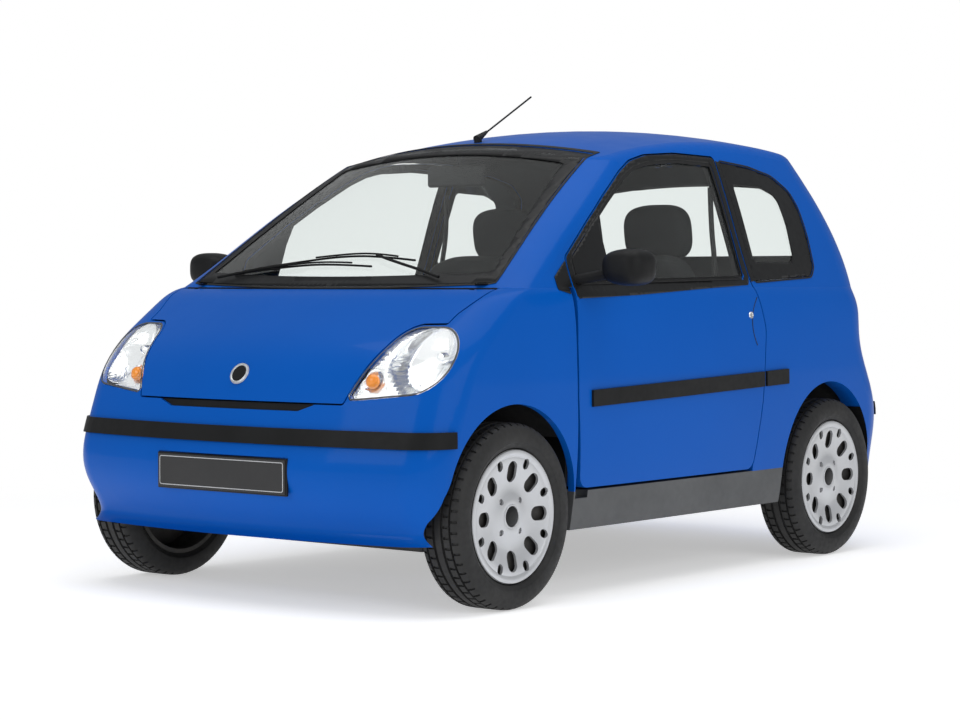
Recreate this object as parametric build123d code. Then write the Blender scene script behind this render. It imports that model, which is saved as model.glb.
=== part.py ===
"""Two-seat microcar: body panels cut from lofted shells, cabin, running gear, doors, lids and wheels.

Millimetres. +X points forward, +Y to the car's left, +Z up; the origin lies on the ground in the middle.
"""
from build123d import *
import math
import os

# ------------------------------------------------------------------ driving dimensions
FRONT_AXLE_X = 950.0
REAR_AXLE_X = -860.0
TYRE_RADIUS = 271.0
TYRE_WIDTH = 155.0
RIM_RADIUS = 196.0
TRACK_HALF = 675.0          # car's middle to a tyre's middle
HUB_Z = TYRE_RADIUS

UNDERSIDE_Z = 205.0         # lowest edge of the body panels
BELT_Z = 930.0              # where the lower body meets the glasshouse
DOOR_WALL = 70.0            # whole door, lower body
POST_WALL = 34.0            # pillars and window frames
ROOF_WALL = 26.0
SKIN = 22.0                 # wings, bumpers and bonnet
GLASS = 5.0
GLASS_SET = 3.0             # how far glass sits below the outer surface
SHUT_GAP = 5.0              # round every moving panel
SEAT_GAP = 0.3              # between a fitted piece and its seat

# Lower body. Each row is one level: height, nose and tail on the centre line, half width,
# the radii of the front, side and rear bows, and the radii of the front and rear corners.
TUB_LEVELS = [
    # z, nose, tail, half, front_bow, side_bow, rear_bow, front_corner, rear_corner
    (UNDERSIDE_Z, 1366, -1348, 722, 3200, 40000, 2200, 130, 180),
    (330, 1383, -1380, 740, 3200, 40000, 2200, 130, 200),
    (480, 1388, -1388, 750, 3200, 40000, 2200, 135, 185),
    (600, 1346, -1345, 751, 3200, 40000, 2200, 140, 185),
    (690, 1305, -1300, 749, 3100, 40000, 2200, 140, 190),
    (800, 1187, -1282, 744, 3200, 40000, 2200, 125, 195),
    (880, 1062, -1280, 736, 3600, 40000, 2200, 105, 212),
    (BELT_Z, 940, -1278, 718, 4200, 40000, 2200, 90, 235),
]
# Glasshouse, from the same belt section up to above the roof.
CAB_LEVELS = [
    (BELT_Z, 940, -1278, 718, 4200, 40000, 2200, 90, 235),
    (1060, 772, -1258, 672, 2800, 40000, 2200, 130, 228),
    (1200, 578, -1190, 625, 2000, 40000, 2100, 145, 222),
    (1350, 352, -1090, 568, 1400, 9000, 2000, 170, 200),
    (1500, 130, -960, 512, 1000, 7000, 1900, 150, 180),
]
ROOF_Z = 1473.0
ROOF_PEAK_X = -500.0
ROOF_BOW_LONG = 3600.0
ROOF_BOW_WIDE = 2500.0
ROOF_EDGE = 60.0            # rounding between roof and sides
WIDE = 900.0                # beyond the body's side
LONG = 1600.0               # beyond the body's ends

parts = {}


# ------------------------------------------------------------------ body surfaces
def level_outline(z, nose, tail, half, front_bow, side_bow, rear_bow, front_corner, rear_corner, inset=0.0):
    """Closed outline of eight tangent arcs at height z, moved inwards by inset."""
    middle = (nose + tail) / 2 - 60
    front_c, rear_c, side_c = (nose - front_bow, 0.0), (tail + rear_bow, 0.0), (middle, half - side_bow)
    fr, sr, rr = front_bow - inset, side_bow - inset, rear_bow - inset
    fc, rc = front_corner - inset, rear_corner - inset

    def corner_centre(c0, r0, c1, r1, r, forward):
        a, b = r0 - r, r1 - r
        dx, dy = c1[0] - c0[0], c1[1] - c0[1]
        d = math.hypot(dx, dy)
        t = (a * a - b * b + d * d) / (2 * d)
        h = math.sqrt(a * a - t * t)
        px, py = c0[0] + t * dx / d, c0[1] + t * dy / d
        both = [(px - h * dy / d, py + h * dx / d), (px + h * dy / d, py - h * dx / d)]
        return max(both, key=lambda q: forward * q[0] + q[1])

    def touch(c, r, q):
        d = math.hypot(q[0] - c[0], q[1] - c[1])
        return (c[0] + r * (q[0] - c[0]) / d, c[1] + r * (q[1] - c[1]) / d)

    def halfway(c, r, p, q):
        return touch(c, r, ((p[0] + q[0]) / 2, (p[1] + q[1]) / 2))

    cf = corner_centre(front_c, fr, side_c, sr, fc, 1)
    cr = corner_centre(rear_c, rr, side_c, sr, rc, -1)
    a, b = touch(front_c, fr, cf), touch(side_c, sr, cf)
    c, d = touch(side_c, sr, cr), touch(rear_c, rr, cr)
    flip = lambda p: (p[0], -p[1])
    left = [(a, halfway(cf, fc, a, b), b), (b, halfway(side_c, sr, b, c), c), (c, halfway(cr, rc, c, d), d)]
    right = [(flip(r), flip(q), flip(p)) for p, q, r in reversed(left)]
    nose_arc = (flip(a), (front_c[0] + fr, 0.0), a)
    tail_arc = (d, (rear_c[0] - rr, 0.0), flip(d))
    arcs = [nose_arc] + left + [tail_arc] + right
    return Wire([Edge.make_three_point_arc(*[(x, y, z) for x, y in arc]) for arc in arcs])


def lofted(levels, inset):
    return Solid.make_loft([level_outline(*level, inset=inset) for level in levels])


def tub(inset=0.0):
    return lofted(TUB_LEVELS, inset)


def roof_block(inset):
    reach = 2200.0
    low = ROOF_Z - ROOF_BOW_WIDE
    edge_z = ROOF_Z - inset - (ROOF_BOW_LONG - math.sqrt(ROOF_BOW_LONG ** 2 - reach ** 2))
    ends = [(ROOF_PEAK_X - reach, edge_z), (ROOF_PEAK_X + reach, edge_z)]
    with BuildSketch(Plane.XZ) as section:
        with BuildLine():
            ThreePointArc(ends[0], (ROOF_PEAK_X, ROOF_Z - inset), ends[1])
            Polyline(ends[1], (ends[1][0], low), (ends[0][0], low), ends[0])
        make_face()
    swing = 25
    axis = Axis((0, 0, low), (1, 0, 0))
    return Solid.revolve(section.sketch.face().rotate(axis, -swing), 2 * swing, axis)


def cab(inset=0.0, roof_inset=0.0, edge=ROOF_EDGE):
    block = (lofted(CAB_LEVELS, inset) & roof_block(roof_inset)).solids()[0]
    top = block.faces().sort_by(Axis.Z)[-1]
    return block.fillet(edge, top.edges())


# ------------------------------------------------------------------ outlines and cutters
def rounded(points, radii=None):
    """Face from corner points, each corner rounded by its radius."""
    if radii is None:
        return make_face(Polyline(*points, close=True).edges())
    face = make_face(Polyline(*points, close=True).edges()).face()
    corners = face.vertices()
    for (x, y), radius in zip(points, radii):
        if radius:
            near = min(face.vertices(), key=lambda v: math.hypot(v.X - x, v.Y - y))
            face = face.fillet_2d(radius, [near])
    return face


def from_side(face, y0, y1):
    """Prism of an (x, z) face between two distances from the middle, left side."""
    return extrude(Plane((0, y0, 0), x_dir=(1, 0, 0), z_dir=(0, -1, 0)) * face, -(y1 - y0))


def from_front(face, x0, x1):
    """Prism of a (y, z) face between two places along the car."""
    return extrude(Plane((x0, 0, 0), x_dir=(0, 1, 0), z_dir=(1, 0, 0)) * face, x1 - x0)


def box(x0, x1, y0, y1, z0, z1):
    return Pos((x0 + x1) / 2, (y0 + y1) / 2, (z0 + z1) / 2) * Box(x1 - x0, y1 - y0, z1 - z0)


def rod(p, q, radius):
    p, q = Vector(*p), Vector(*q)
    return Solid.make_cylinder(radius, (q - p).length, Plane(origin=p, z_dir=q - p))


def other_side(shape):
    return shape.mirror(Plane.XZ)


def both(shape):
    return [shape, other_side(shape)]


def one(result):
    """A boolean's result as one shape, whether it left one solid or several."""
    solids = result.solids()
    return solids[0] if len(solids) == 1 else Compound(solids)


def largest(shape):
    """The biggest solid, without the crumbs that a cut leaves."""
    return shape.solids().sort_by(SortBy.VOLUME)[-1]


def fused(shapes):
    first, *rest = shapes
    return one(first.fuse(*rest)) if rest else first


def cut(shape, *cutters):
    return one(shape.cut(*cutters))


def keep(shape, region):
    return one(shape & region)


def solids_of(*shapes):
    found = []
    for shape in shapes:
        for item in (shape if isinstance(shape, (list, tuple)) else [shape]):
            found += list(item.solids())
    return found


def add(node, *shapes):
    parts[node] = solids_of(*shapes)


# Door outline in side view: front post, foot, lock edge, roof line.
DOOR_LINE = [(619, 330), (636, 600), (634, 760), (621, 900), (612, 1020), (452, 1134), (330, 1214), (196, 1293),
             (115, 1332), (20, 1354), (-150, 1366), (-374, 1362), (-367, 1120), (-372, 960), (-424, 790),
             (-396, 556), (-346, 330)]
DOOR_ROUNDS = [40, 200, 300, 60, 24, 300, 300, 300, 150, 200, 200, 12, 300, 100, 100, 300, 40]
WINDOW_LINE = [(586, 942), (583, 1021), (443, 1121), (321, 1200), (187, 1279), (108, 1313), (18, 1333),
               (-150, 1345), (-345, 1340), (-342, 958)]
WINDOW_ROUNDS = [10, 20, 300, 300, 300, 150, 200, 200, 14, 14]
QUARTER_WINDOW_LINE = [(-398, 1350), (-577, 1336), (-717, 1309), (-800, 1260), (-828, 1205), (-836, 1100),
                       (-824, 1000), (-788, 966), (-402, 948)]
QUARTER_WINDOW_ROUNDS = [14, 200, 120, 60, 120, 300, 40, 40, 14]
TAILGATE_LINE = [(-545, 560), (545, 560), (572, 700), (566, 925), (-566, 925), (-572, 700)]
FRONT_ARCH = (938.0, 302.0, 293.0)
REAR_ARCH = (-848.0, 300.0, 303.0)
DOOR_HINGE = (607.0, 712.0)


def grown(face, amount):
    return offset(face, amount=amount, kind=Kind.ARC).face() if amount else face


def arch(centre_x, centre_z, radius, grow=0.0):
    """Wheel opening: a round top over straight sides."""
    r = radius + grow
    face = make_face([
        Line((centre_x - r, 0), (centre_x + r, 0)).edge(),
        Line((centre_x + r, 0), (centre_x + r, centre_z)).edge(),
        ThreePointArc((centre_x + r, centre_z), (centre_x, centre_z + r), (centre_x - r, centre_z)).edge(),
        Line((centre_x - r, centre_z), (centre_x - r, 0)).edge()]).face()
    return from_side(face, 300, WIDE)


def steering_room():
    """What each steered front tyre sweeps about its kingpin, with its clearance, from the kingpin outwards."""
    out = TRACK_HALF + TYRE_WIDTH / 2 - KINGPIN_Y + STEER_CLEARANCE
    step = 15
    radius = (TYRE_RADIUS + STEER_CLEARANCE) / math.cos(math.radians(step / 2))
    rows = [math.radians(angle) for angle in range(-90, 91, step)]
    line = [(math.hypot(radius * math.cos(a), out), HUB_Z + radius * math.sin(a)) for a in rows]
    profile = make_face(Polyline((0, line[0][1]), *line, (0, line[-1][1]), close=True).edges())
    swept = Pos(FRONT_AXLE_X, KINGPIN_Y, 0) * revolve(Plane.XZ * profile, Axis.Z)
    return both(keep(swept, box(0, LONG, KINGPIN_Y - 20, WIDE, -100, 900)))


STEER_CLEARANCE = 6.0


def place_wheel_arches():
    front = arch(*FRONT_ARCH)
    rear = arch(*REAR_ARCH)
    return [front, other_side(front), rear, other_side(rear)] + steering_room()


# ------------------------------------------------------------------ front regions (seen from ahead: y, z)
LAMP_LINE = [(415, 607), (501, 820), (699, 820), (699, 635)]
LAMP_ROUNDS = [14, 62, 96, 86]
BONNET_LINE = [(-409, 601), (409, 601), (495, 827), (606, 829), (608, 856), (634, 903), (642, 930), (642, 960),
               (-642, 960), (-642, 930), (-634, 903), (-608, 856), (-606, 829), (-495, 827)]
BONNET_ROUNDS = [8, 8, 68, 3, 20, 60, 20, 0, 0, 20, 60, 20, 3, 68]
BUMPER_EDGE = [(1104, 100), (1104, 530), (1144, 567), (1192, 605), (1228, 655), (1228, 700), (1500, 700),
               (1500, 100)]
REAR_BUMPER_EDGE = [(-1160, 100), (-1160, 430), (-1090, 555), (-1600, 555), (-1600, 100)]
BONNET_BACK_X = 962.0       # bonnet's rear edge on the centre line
BONNET_BACK_CORNER_X = 905.0
BONNET_BACK_HALF = 660.0
BONNET_BACK_GAP = 15.0      # the lid's rear edge swings back over the scuttle
BONNET_EDGE_STEP = 4.0      # the step along that edge
DOOR_CLEAR_REACH = [(300, 36), (400, 42), (476, 46), (600, 49), (715, 47), (804, 42), (880, 30), (905, 21)]   # z, radius


def door_swing():
    """What the front edge of the door sweeps about its hinge, with the shut gap."""
    x, y = DOOR_HINGE
    lows, highs = DOOR_CLEAR_REACH[0][0], DOOR_CLEAR_REACH[-1][0]
    line = [(0, lows)] + [(r, z) for z, r in DOOR_CLEAR_REACH] + [(0, highs)]
    profile = Plane.XZ * make_face(Polyline(*line, close=True).edges())
    return Pos(x, y, 0) * revolve(profile, Axis.Z)


def panels():
    """Every panel cut from the lofted walls."""
    tub_out, tub_skin, tub_inner = tub(), tub(SKIN), tub(DOOR_WALL)
    thick_wall = cut(tub_out, tub_inner)
    thin_wall = cut(tub_out, tub_skin)
    post_wall = cut(cab(), cab(POST_WALL, ROOF_WALL, ROOF_EDGE - 20))
    glass_wall = cut(cab(GLASS_SET, GLASS_SET), cab(GLASS_SET + GLASS, GLASS_SET + GLASS))

    door_face = rounded(DOOR_LINE, DOOR_ROUNDS)
    window_face = rounded(WINDOW_LINE, WINDOW_ROUNDS)
    quarter_face = rounded(QUARTER_WINDOW_LINE, QUARTER_WINDOW_ROUNDS)
    opening = from_side(grown(door_face, SHUT_GAP), 400, WIDE)
    openings = both(opening) + both(door_swing())
    arches = place_wheel_arches()

    # doors
    door_region = from_side(door_face, 400, WIDE)
    window_hole = from_side(window_face, 380, WIDE)
    lower = keep(thick_wall, door_region)
    upper = cut(keep(post_wall, door_region), window_hole)
    door = fused([lower, upper])
    x, y = DOOR_HINGE
    pins, pockets = [], []
    for z in (430, 760):
        pockets += [box(x - 24, 700, 500, y + 14, z - 26, z + 26), rod((x, y, z - 50), (x, y, z + 50), 7.1)]
        arm = box(x - 7, x + 7, y - 47, y, z - 20, z + 20)
        foot = box(x - 7, BULKHEAD_X - SEAT_GAP, y - 47, y - 37, z - 20, z + 20)
        pins.append(fused([rod((x, y, z - 49.7), (x, y, z + 49.7), 7), arm, foot]))
    door = cut(door, *pockets)
    add("door_left", door)
    add("door_right", other_side(door))
    pane = keep(glass_wall, from_side(grown(window_face, -SEAT_GAP), 380, WIDE))
    add("door_glass_left", pane)
    add("door_glass_right", other_side(pane))

    # glasshouse frame
    screen_face = screen_line()
    screen_hole = from_front(screen_face, 0, 1100)
    rear_face = rear_window_line()
    rear_hole = from_front(rear_face, -1500, -800)
    quarter_hole = from_side(quarter_face, 380, WIDE)
    quarter_holes = both(quarter_hole)
    frame = cut(post_wall, *openings, screen_hole, rear_hole, *quarter_holes)
    add("windscreen", keep(glass_wall, from_front(grown(screen_face, -SEAT_GAP), 0, 1100)))
    quarter_pane = keep(glass_wall, from_side(grown(quarter_face, -SEAT_GAP), 380, WIDE))
    add("quarter_glass", *both(quarter_pane))
    rear_window = keep(post_wall, from_front(grown(rear_face, -SHUT_GAP), -1500, -800))
    rear_window, frame = hinged(rear_window, frame, "rear_window")
    add("rear_window", rear_window)
    add("upper_frame", frame)

    # lower body behind the doors
    tailgate_face = rounded(TAILGATE_LINE, [30, 30, 100, 14, 14, 100])
    tailgate_hole = from_front(grown(tailgate_face, SHUT_GAP), -1600, -900)
    lamp = tail_lamp_region()
    lamps = both(lamp)
    bumper_zone = from_side(rounded(REAR_BUMPER_EDGE), -WIDE, WIDE)
    behind = box(-1500, DOOR_FOOT_X, -WIDE, WIDE, SILL_TOP, BELT_Z)
    quarters = cut(keep(thick_wall, behind), *openings, *arches, tailgate_hole, bumper_zone, *lamps)
    add("rear_quarters", *both(keep(quarters, box(-1500, 0, 0, WIDE, 0, BELT_Z + 10))))
    rear_bumper = cut(keep(thick_wall, bumper_zone), *arches, tailgate_hole)
    tailgate = keep(thick_wall, from_front(tailgate_face, -1600, -900))
    tailgate, rear_bumper = hinged(tailgate, rear_bumper, "tailgate")
    add("rear_bumper", rear_bumper)
    add("tailgate", tailgate)
    add("tail_lamps", *[cut(keep(thick_wall, region), tailgate_hole) for region in lamps])

    # sills
    sill_zone = box(-600, SILL_FRONT_X, -WIDE, WIDE, UNDERSIDE_Z, SILL_TOP)
    add("sills", cut(keep(thick_wall, sill_zone), *openings, *arches))

    # front end
    lamp_face = rounded(LAMP_LINE, LAMP_ROUNDS)
    lamp_cut = from_front(lamp_face, 1060, 1500)
    lamp_cuts = both(lamp_cut)
    bonnet_face = rounded(BONNET_LINE, BONNET_ROUNDS)
    bonnet_hole = keep(from_front(grown(bonnet_face, SHUT_GAP), 700, 1500), ahead_of_scuttle(-BONNET_BACK_GAP))
    bumper_front = from_side(rounded(BUMPER_EDGE), -WIDE, WIDE)
    nose_zone = box(FRONT_POST_X, 1500, -WIDE, WIDE, UNDERSIDE_Z, BELT_Z)
    top_zone = box(FRONT_POST_X, BONNET_BACK_X, -SCUTTLE_HALF, SCUTTLE_HALF, SCUTTLE_LOW_Z, BELT_Z)
    front = keep(thin_wall, nose_zone)
    wings = cut(front, bumper_front, bonnet_hole, *lamp_cuts, *arches, *openings, top_zone, sill_zone)
    add("front_wings", wings)
    bumper = cut(keep(front, bumper_front), bonnet_hole, *lamp_cuts, *arches)
    bumper = cut(bumper, from_front(grille_face(), 1300, 1450), plate_recess())
    add("front_bumper", largest(bumper))
    scuttle = cut(keep(front, top_zone), bonnet_hole)
    bonnet = keep(thin_wall, keep(from_front(bonnet_face, 700, 1500), ahead_of_scuttle(0)))
    rear_strip = cut(bonnet, ahead_of_scuttle(BONNET_EDGE_STEP))
    bonnet = cut(bonnet, cut(rear_strip, tub(2 * BONNET_EDGE_STEP)))
    bonnet, scuttle = hinged(bonnet, scuttle, "bonnet")
    add("scuttle", largest(scuttle))
    add("bonnet", bonnet)
    lens_wall = cut(tub(2), tub(6))
    bowl_wall = cut(tub(16), tub(60))
    lens_cut = from_front(grown(lamp_face, -SEAT_GAP), 1060, 1500)
    add("headlamp_lenses", *both(keep(lens_wall, lens_cut)))
    add("headlamp_bowls", *both(keep(bowl_wall, lens_cut)))
    add("door_hinges", *[side for pin in pins for side in both(pin)])
    return locals()


SILL_TOP = 322.0
DOOR_FOOT_X = -351.0        # lower rear corner of the door opening
FRONT_POST_X = 640.0
SILL_FRONT_X = 675.0
SCUTTLE_HALF = 636.0
SCUTTLE_LOW_Z = 870.0


def ahead_of_scuttle(shift):
    """Everything in front of the bonnet's curved rear edge."""
    back, corner, wide = BONNET_BACK_X + shift, BONNET_BACK_CORNER_X + shift, BONNET_BACK_HALF
    face = make_face([
        ThreePointArc((corner, -wide), (back, 0), (corner, wide)).edge(),
        Line((corner, wide), (LONG, wide)).edge(),
        Line((LONG, wide), (LONG, -wide)).edge(),
        Line((LONG, -wide), (corner, -wide)).edge()]).face()
    return extrude(Pos(0, 0, 500) * face, 600)


LID_PIN = 3.5
LID_BARREL = 7.0
LID_HINGES = {
    # lid: (x, z) of the axis, distance of each hinge from the middle
    "bonnet": (921.5, 914.8, 540.0),
    "rear_window": (-1061.0, 1389.0, 90.0),
    "tailgate": (-1366.0, 556.5, 110.0),
}


def along(x, z, y0, y1, radius):
    return rod((x, y0, z), (x, y1, z), radius)


def hinged(lid, fixed, name):
    """Give a lid two barrels and what carries it the ears and pins."""
    x, z, out = LID_HINGES[name]
    room = LID_BARREL + SHUT_GAP
    barrels, fixings, lid_room, fixed_room = [], [], [], []
    for y in (-out, out):
        barrels.append(cut(along(x, z, y - 17, y + 17, LID_BARREL), along(x, z, y - 40, y + 40, LID_PIN + RUNNING)))
        fixings += [along(x, z, y - 32, y - 19, LID_BARREL), along(x, z, y + 19, y + 32, LID_BARREL),
                    along(x, z, y - 32, y + 32, LID_PIN)]
        if name == "bonnet":
            for a, b in ((-32, -19), (19, 32)):
                foot = fused([box(x - 16, x, y + a, y + b, z - 7, z + 3), box(x - 16, x - 8, y + a, y + b, z - 7, z + 12)])
                fixings.append(cut(foot, along(x, z, y - 40, y + 40, LID_BARREL - 2)))
        lid_room += [along(x, z, y - 35, y - 17, room), along(x, z, y + 17, y + 35, room),
                     along(x, z, y - 17, y + 17, LID_BARREL - 1)]
        fixed_room.append(along(x, z, y - 19, y + 19, room))
    return fused([cut(lid, *lid_room)] + barrels), fused([cut(fixed, *fixed_room)] + fixings)


def screen_line():
    base, top = 612.0, 492.0
    return make_face([
        ThreePointArc((-base, 944), (0, 931), (base, 944)).edge(),
        Line((base, 944), (top, 1352)).edge(),
        ThreePointArc((top, 1352), (0, 1394), (-top, 1352)).edge(),
        Line((-top, 1352), (-base, 944)).edge()]).face()


def rear_window_line():
    base, top = 566.0, 474.0
    return make_face([
        Line((-base, 938), (base, 938)).edge(),
        Line((base, 938), (top, 1350)).edge(),
        ThreePointArc((top, 1350), (0, 1392), (-top, 1350)).edge(),
        Line((-top, 1350), (-base, 938)).edge()]).face()


def tail_lamp_region():
    face = rounded([(-1172, 703), (-1068, 925), (-1500, 925), (-1500, 703)], [40, 30, 0, 0])
    return from_side(face, 500, WIDE)


def grille_face():
    return rounded([(-258, GRILLE_LOW), (258, GRILLE_LOW), (GRILLE_HALF, GRILLE_TOP), (-GRILLE_HALF, GRILLE_TOP)],
                   [8, 8, 4, 4])


def plate_recess():
    return box(PLATE_FACE_X, 1450, -262, 262, 330, 444)


# ------------------------------------------------------------------ running gear
KINGPIN_Y = 612.0
SPINDLE_RADIUS = 20.0
SPINDLE_END = 708.0
RUNNING = 0.1
PIN_RADIUS = 10.0


def tyre(x, side):
    half = TYRE_WIDTH / 2
    profile = [(RIM_RADIUS, -half + 12), (RIM_RADIUS + 26, -half), (TYRE_RADIUS - 22, -half + 4),
               (TYRE_RADIUS - 4, -half + 16), (TYRE_RADIUS, -half + 30)]
    profile += [(r, -y) for r, y in reversed(profile)]
    return turned(profile, x, side)


def turned(profile, x, side, origin_y=TRACK_HALF):
    """Revolve (radius, distance outwards) points about a wheel's axle."""
    outline = Polyline(*[(r, side * y) for r, y in profile], close=True)
    face = Plane((0, 0, 0), x_dir=(1, 0, 0), z_dir=(0, 0, 1)) * make_face(outline.edges())
    return Pos(x, side * origin_y, HUB_Z) * revolve(face, Axis.Y)


def rim(x, side):
    bore = SPINDLE_RADIUS + RUNNING
    profile = [
        (bore, 0), (bore, 54), (40, 52), (80, 46), (172, 62), (RIM_RADIUS - SEAT_GAP, 66),
        (RIM_RADIUS - SEAT_GAP, -64), (RIM_RADIUS - 10, -64), (RIM_RADIUS - 10, 46), (80, 38), (36, 38), (36, 0)]
    cap = rod((x, side * (TRACK_HALF + 40), HUB_Z), (x, side * (TRACK_HALF + 60), HUB_Z), 32)
    wheel = fused([turned(profile, x, side), cap])
    centre = Plane((x, side * (TRACK_HALF + 20), HUB_Z), x_dir=(1, 0, 0), z_dir=(0, side, 0))
    tools = []
    for index in range(RIM_HOLES):
        turn = 360 / RIM_HOLES * index
        tools.append(extrude(centre * Rot(0, 0, turn) * Pos(0, 130) * SlotOverall(52, 36), 80))
        tools.append(extrude(centre * Rot(0, 0, turn + 180 / RIM_HOLES) * Pos(0, 163) * Circle(8), 80))
    return cut(wheel, *tools)


RIM_HOLES = 8


def wheels():
    for name, x, side in WHEELS:
        add("tyre_" + name, tyre(x, side))
        add("rim_" + name, rim(x, side))


WHEELS = [
    # name, axle place, side
    ("front_left", FRONT_AXLE_X, 1), ("front_right", FRONT_AXLE_X, -1),
    ("rear_left", REAR_AXLE_X, 1), ("rear_right", REAR_AXLE_X, -1)]


def knuckle(side):
    x, y = FRONT_AXLE_X, side * KINGPIN_Y
    post = rod((x, y, 192), (x, y, 350), 24)
    pin = rod((x, y, 150), (x, y, 392), PIN_RADIUS)
    spindle = rod((x, y, HUB_Z), (x, side * SPINDLE_END, HUB_Z), SPINDLE_RADIUS)
    disc = rod((x, side * (KINGPIN_Y + 36), HUB_Z), (x, side * (KINGPIN_Y + 48), HUB_Z), 118)
    return fused([post, pin, spindle, disc])


def running_gear():
    x, z = FRONT_AXLE_X, HUB_Z
    add("knuckle_left", knuckle(1))
    add("knuckle_right", knuckle(-1))
    inner = FRONT_HOUSING_Y + SEAT_GAP
    top = FRONT_HOUSING[1] + FRONT_HOUSING[2]
    halves = []
    for side in (1, -1):
        y = side * KINGPIN_Y
        lower = box(x - 20, x + 20, *sorted((side * 400, y)), 156, 180)
        upper = box(x - 20, x + 20, *sorted((side * inner, y)), 362, 386)
        eyes = [rod((x, y, 156), (x, y, 180), 23), rod((x, y, 362), (x, y, 386), 23)]
        strut = rod((x, side * 500, 170), (x, side * 500, top - 2), 25)
        bore = rod((x, y, 100), (x, y, 450), PIN_RADIUS + RUNNING)
        halves.append(cut(fused([lower, upper, strut] + eyes), bore))
    beam = box(x - 40, x + 40, -430, 430, 150, 200)
    add("front_suspension", fused([beam] + halves))
    x = REAR_AXLE_X
    tube = rod((x, -SPINDLE_END, z), (x, SPINDLE_END, z), SPINDLE_RADIUS)
    drums = [rod((x, side * 596, z), (x, side * 650, z), 105) for side in (1, -1)]
    beam = rod((x, -605, z), (x, 605, z), AXLE_BEAM_RADIUS)
    top = REAR_HOUSING[1] + REAR_HOUSING[2]
    springs = [rod((x, side * 530, z), (x, side * 530, top - 6), 30) for side in (1, -1)]
    pivot = REAR_HOUSING[0] + REAR_HOUSING[2] - SEAT_GAP
    links = [box(x, pivot, *sorted((side * 480, side * 520)), 240, 290) for side in (1, -1)]
    add("rear_axle", fused([tube, beam] + drums + springs + links))


AXLE_BEAM_RADIUS = 34.0
FRONT_HOUSING = (950.0, 290.0, 318.0)      # x, z, radius
REAR_HOUSING = (-850.0, 296.0, 306.0)
FRONT_HOUSING_Y = 424.0                    # inner wall's outboard face
REAR_HOUSING_Y = 440.0
HOUSING_WALL = 5.0


def housing(centre_x, centre_z, radius, inner_y):
    """Liner round a wheel: a half tube with straight sides and an inner wall, open below and outside."""
    outside = arch(centre_x, centre_z, radius, HOUSING_WALL)
    region = box(centre_x - 600, centre_x + 600, inner_y - HOUSING_WALL, WIDE, UNDERSIDE_Z, 900)
    hollow = keep(arch(centre_x, centre_z, radius), box(centre_x - 600, centre_x + 600, inner_y, WIDE, 0, 900))
    return cut(keep(outside, region), hollow)


def housing_space(centre_x, centre_z, radius, inner_y):
    """The whole of a wheel housing with its seat gap, for cutting what stands round it."""
    outside = arch(centre_x, centre_z, radius, HOUSING_WALL + SEAT_GAP)
    return keep(outside, box(centre_x - 600, centre_x + 600, inner_y - HOUSING_WALL - SEAT_GAP, WIDE, 0, 900))


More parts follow.
